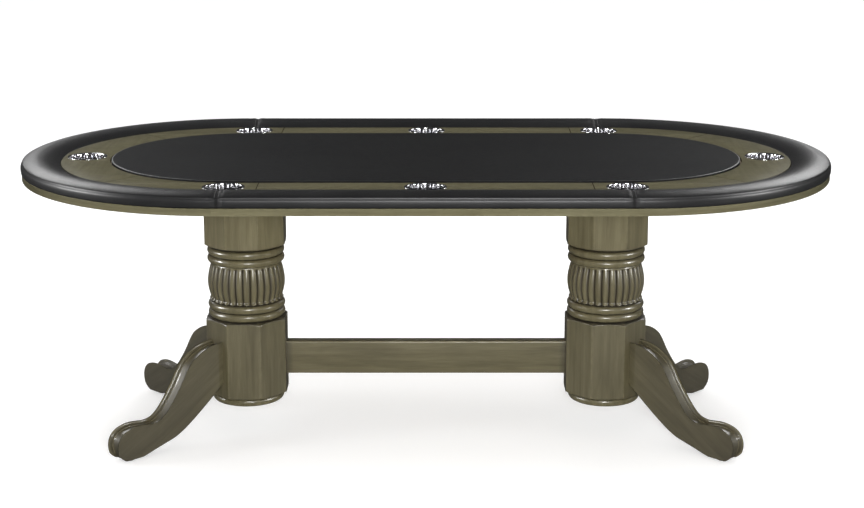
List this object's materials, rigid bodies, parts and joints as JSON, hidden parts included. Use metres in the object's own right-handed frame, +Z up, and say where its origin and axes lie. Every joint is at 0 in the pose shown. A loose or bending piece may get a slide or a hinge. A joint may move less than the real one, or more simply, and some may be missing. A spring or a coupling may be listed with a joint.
{
  "type": "poker table",
  "caption": "Oval poker table with a padded rail, wooden racetrack, lift-out cup holders, padded playing surface and two turned pedestals with scrolled legs.",
  "frame": {"origin": "on the floor under the middle of the table", "axes": "+X along the table's length, +Y to the back long side, +Z up"},
  "size_m": [2.1332, 1.1176, 0.762],
  "materials": {
    "board_plywood": "plain plywood, sealed",
    "stained_wood": "grey-olive stained hardwood under satin lacquer",
    "pedestal_wood": "grey-olive stained hardwood under satin lacquer",
    "rail_vinyl": "black grained upholstery vinyl over foam, double topstitched cross seams",
    "playing_cloth": "black woven playing cloth over thin foam",
    "cup_steel": "polished stainless steel",
    "zinc_steel": "bright zinc-plated steel",
    "glide_plastic": "black nylon"
  },
  "bodies": {
    "root": {"base_board": "board_plywood", "mount_plate_right": "board_plywood", "mount_plate_left": "board_plywood", "playfield_board": "board_plywood", "rail_core_right": "board_plywood", "rail_core_left": "board_plywood", "rail_core_front": "board_plywood", "rail_core_back": "board_plywood", "lipping_right": "stained_wood", "lipping_left": "stained_wood", "lipping_front": "stained_wood", "lipping_back": "stained_wood", "racetrack_front": "stained_wood", "racetrack_back": "stained_wood", "racetrack_right": "stained_wood", "racetrack_left": "stained_wood", "racetrack_front_right": "stained_wood", "racetrack_front_left": "stained_wood", "racetrack_back_right": "stained_wood", "racetrack_back_left": "stained_wood", "upper_block_right": "pedestal_wood", "upper_block_left": "pedestal_wood", "vase_right": "pedestal_wood", "vase_left": "pedestal_wood", "lower_block_right": "pedestal_wood", "lower_block_left": "pedestal_wood", "base_ring_right": "pedestal_wood", "base_ring_left": "pedestal_wood", "leg_front_right": "pedestal_wood", "leg_front_left": "pedestal_wood", "leg_back_right": "pedestal_wood", "leg_back_left": "pedestal_wood", "stretcher": "pedestal_wood", "rail_pad_right": "rail_vinyl", "rail_pad_left": "rail_vinyl", "rail_pad_front": "rail_vinyl", "rail_pad_back": "rail_vinyl", "playfield_pad": "playing_cloth", "tie_rod_right": "zinc_steel", "tie_rod_left": "zinc_steel", "pedestal_bolts_right": "zinc_steel", "pedestal_bolts_left": "zinc_steel", "rail_screws": "zinc_steel", "plate_screws": "zinc_steel", "glides": "glide_plastic"},
    "cup_end_right": {"cup_end_right": "cup_steel"},
    "cup_end_left": {"cup_end_left": "cup_steel"},
    "cup_middle_front": {"cup_middle_front": "cup_steel"},
    "cup_middle_back": {"cup_middle_back": "cup_steel"},
    "cup_front_right": {"cup_front_right": "cup_steel"},
    "cup_front_left": {"cup_front_left": "cup_steel"},
    "cup_back_right": {"cup_back_right": "cup_steel"},
    "cup_back_left": {"cup_back_left": "cup_steel"}
  },
  "joints": [
    {"name": "cup_end_right_lift", "type": "slide", "parent": "root", "child": "cup_end_right", "axis": [0, 0, 1], "range_m": [0, 0.1]},
    {"name": "cup_end_left_lift", "type": "slide", "parent": "root", "child": "cup_end_left", "axis": [0, 0, 1], "range_m": [0, 0.1]},
    {"name": "cup_middle_front_lift", "type": "slide", "parent": "root", "child": "cup_middle_front", "axis": [0, 0, 1], "range_m": [0, 0.1]},
    {"name": "cup_middle_back_lift", "type": "slide", "parent": "root", "child": "cup_middle_back", "axis": [0, 0, 1], "range_m": [0, 0.1]},
    {"name": "cup_front_right_lift", "type": "slide", "parent": "root", "child": "cup_front_right", "axis": [0, 0, 1], "range_m": [0, 0.1]},
    {"name": "cup_front_left_lift", "type": "slide", "parent": "root", "child": "cup_front_left", "axis": [0, 0, 1], "range_m": [0, 0.1]},
    {"name": "cup_back_right_lift", "type": "slide", "parent": "root", "child": "cup_back_right", "axis": [0, 0, 1], "range_m": [0, 0.1]},
    {"name": "cup_back_left_lift", "type": "slide", "parent": "root", "child": "cup_back_left", "axis": [0, 0, 1], "range_m": [0, 0.1]}
  ]
}
